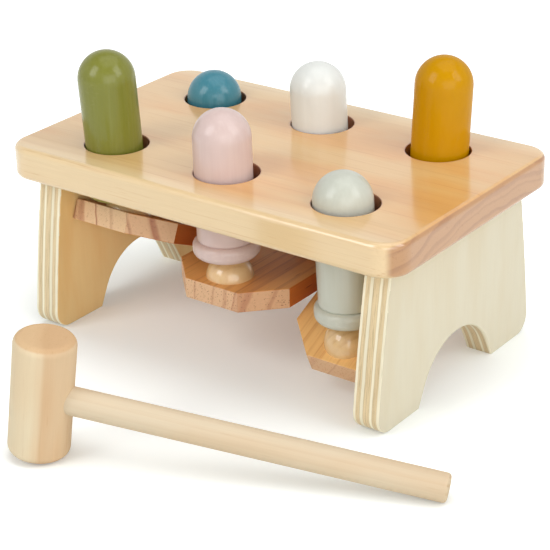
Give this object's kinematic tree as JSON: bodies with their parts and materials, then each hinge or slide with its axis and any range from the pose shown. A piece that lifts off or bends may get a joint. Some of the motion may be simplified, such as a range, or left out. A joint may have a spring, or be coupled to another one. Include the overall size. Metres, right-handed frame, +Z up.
{
  "type": "peg pounding bench",
  "caption": "Wooden pounding bench: domed pegs through a holed top stand on see-saw rockers, so hitting one peg down with the mallet lifts its partner.",
  "frame": {"origin": "bottom centre of the whole set's box, bench and mallet together, on the floor", "axes": "+X along the bench's length to the right, +Y from the mallet in front towards the bench's back, +Z up"},
  "size_m": [0.242, 0.2182, 0.1285],
  "materials": {
    "pine_board": "clear satin lacquer over pine",
    "birch_ply": "clear matt lacquer over plywood",
    "dowel_wood": "bare wood",
    "axle_steel": "plain steel rod",
    "rocker_pine": "clear satin lacquer over reddish pine",
    "knob_wood": "clear satin lacquer over hardwood",
    "green_paint": "satin paint",
    "blue_paint": "satin paint",
    "pink_paint": "satin paint",
    "white_paint": "satin paint",
    "grey_paint": "satin paint",
    "mustard_paint": "satin paint",
    "mallet_wood": "sanded pale hardwood"
  },
  "bodies": {
    "bench": {"top_board": "pine_board", "left_leg": "birch_ply", "right_leg": "birch_ply", "left_leg_front_dowel": "dowel_wood", "left_leg_rear_dowel": "dowel_wood", "right_leg_front_dowel": "dowel_wood", "right_leg_rear_dowel": "dowel_wood", "rocker_axle": "axle_steel"},
    "left_seesaw": {"left_rocker": "rocker_pine", "left_front_knob": "knob_wood", "left_rear_knob": "knob_wood"},
    "middle_seesaw": {"middle_rocker": "rocker_pine", "middle_front_knob": "knob_wood", "middle_rear_knob": "knob_wood"},
    "right_seesaw": {"right_rocker": "rocker_pine", "right_front_knob": "knob_wood", "right_rear_knob": "knob_wood"},
    "green_peg": {"green_peg": "green_paint"},
    "blue_peg": {"blue_peg": "blue_paint"},
    "pink_peg": {"pink_peg": "pink_paint"},
    "white_peg": {"white_peg": "white_paint"},
    "grey_peg": {"grey_peg": "grey_paint"},
    "mustard_peg": {"mustard_peg": "mustard_paint"},
    "mallet": {"mallet_head": "mallet_wood", "mallet_handle": "mallet_wood"}
  },
  "joints": [
    {"name": "left_rocker_hinge", "type": "hinge", "parent": "bench", "child": "left_seesaw", "pos_m": [-0.02001, 0.04669, 0.03433], "axis": [1, 0, 0], "range_deg": [0, 49]},
    {"name": "middle_rocker_hinge", "type": "hinge", "parent": "bench", "child": "middle_seesaw", "pos_m": [-0.02001, 0.04669, 0.03433], "axis": [1, 0, 0], "range_deg": [-24.5, 24.5]},
    {"name": "right_rocker_hinge", "type": "hinge", "parent": "bench", "child": "right_seesaw", "pos_m": [-0.02001, 0.04669, 0.03433], "axis": [1, 0, 0], "range_deg": [-49, 0]},
    {"name": "green_peg_slide", "type": "slide", "parent": "bench", "child": "green_peg", "axis": [-0.02, -0.0549, 0.9983], "range_m": [-0.02843, 0]},
    {"name": "blue_peg_slide", "type": "slide", "parent": "bench", "child": "blue_peg", "axis": [0.031, 0, 0.9995], "range_m": [0, 0.02864]},
    {"name": "pink_peg_slide", "type": "slide", "parent": "bench", "child": "pink_peg", "axis": [-0.014, 0, 0.9999], "range_m": [-0.01433, 0.01433]},
    {"name": "white_peg_slide", "type": "slide", "parent": "bench", "child": "white_peg", "axis": [-0.032, -0.026, 0.9992], "range_m": [-0.01436, 0.01436]},
    {"name": "grey_peg_slide", "type": "slide", "parent": "bench", "child": "grey_peg", "axis": [-0.035, -0.028, 0.999], "range_m": [0, 0.02854]},
    {"name": "mustard_peg_slide", "type": "slide", "parent": "bench", "child": "mustard_peg", "axis": [0.02, 0.0549, 0.9983], "range_m": [-0.02843, 0]},
    {"name": "mallet_lift", "type": "slide", "parent": "bench", "child": "mallet", "axis": [0, 0, 1], "range_m": [0, 0.15]}
  ],
  "couplings": [
    {"joint": "green_peg_slide", "follows": "left_rocker_hinge", "m_per_rad": -0.033244},
    {"joint": "blue_peg_slide", "follows": "left_rocker_hinge", "m_per_rad": 0.033491},
    {"joint": "pink_peg_slide", "follows": "middle_rocker_hinge", "m_per_rad": -0.033503},
    {"joint": "white_peg_slide", "follows": "middle_rocker_hinge", "m_per_rad": 0.033575},
    {"joint": "grey_peg_slide", "follows": "right_rocker_hinge", "m_per_rad": -0.033369},
    {"joint": "mustard_peg_slide", "follows": "right_rocker_hinge", "m_per_rad": 0.033244}
  ]
}
